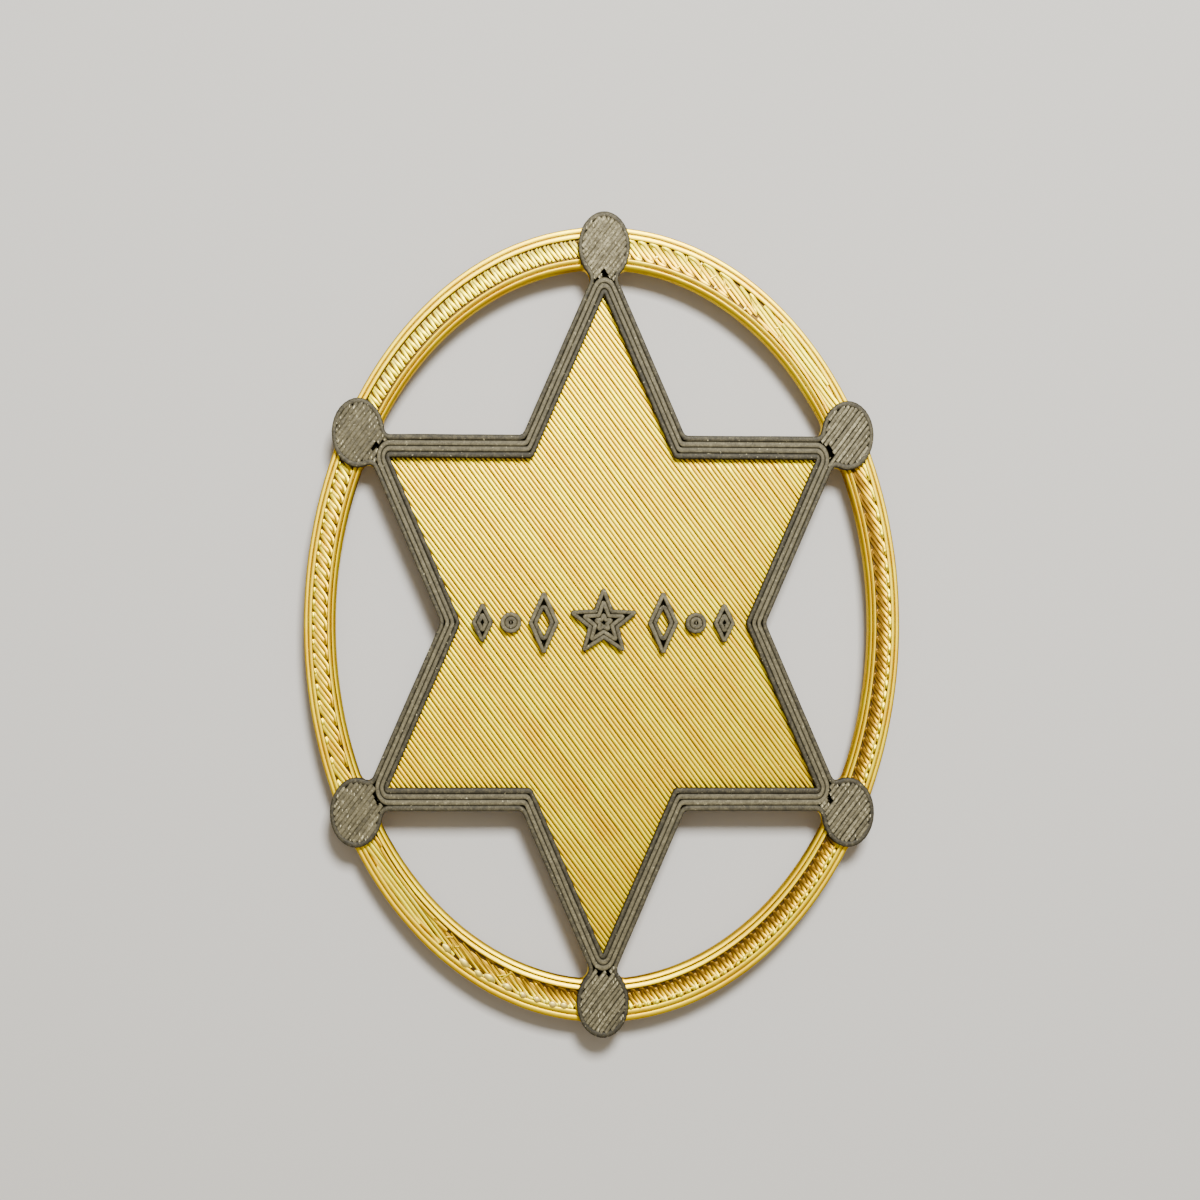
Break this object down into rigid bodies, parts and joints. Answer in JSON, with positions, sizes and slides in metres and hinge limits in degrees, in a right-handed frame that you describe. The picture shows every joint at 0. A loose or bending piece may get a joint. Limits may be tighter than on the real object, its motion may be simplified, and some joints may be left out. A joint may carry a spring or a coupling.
{
  "type": "police badge",
  "caption": "Six-pointed star badge in an oval ring, gold with a raised charcoal border, ball tips and a bar pin behind.",
  "frame": {"origin": "centre of the outline, at the level of the pin's feet, which the badge rests on", "axes": "+Z out of the badge's face, +Y towards the top tip, +X to the viewer's right"},
  "size_m": [0.062, 0.0856, 0.0048],
  "materials": {
    "gold_pla": "silk gold 3-D print filament, satin, with 0.42 mm print lines",
    "charcoal_pla": "matte charcoal 3-D print filament with 0.42 mm print lines",
    "plated_steel": "nickel-plated steel, satin"
  },
  "bodies": {
    "root": {"gold_base": "gold_pla", "star_border": "charcoal_pla", "centre_star": "charcoal_pla", "inner_lozenge_left": "charcoal_pla", "inner_lozenge_right": "charcoal_pla", "disc_left": "charcoal_pla", "disc_right": "charcoal_pla", "outer_lozenge_left": "charcoal_pla", "outer_lozenge_right": "charcoal_pla", "pin_back": "plated_steel"}
  },
  "joints": []
}
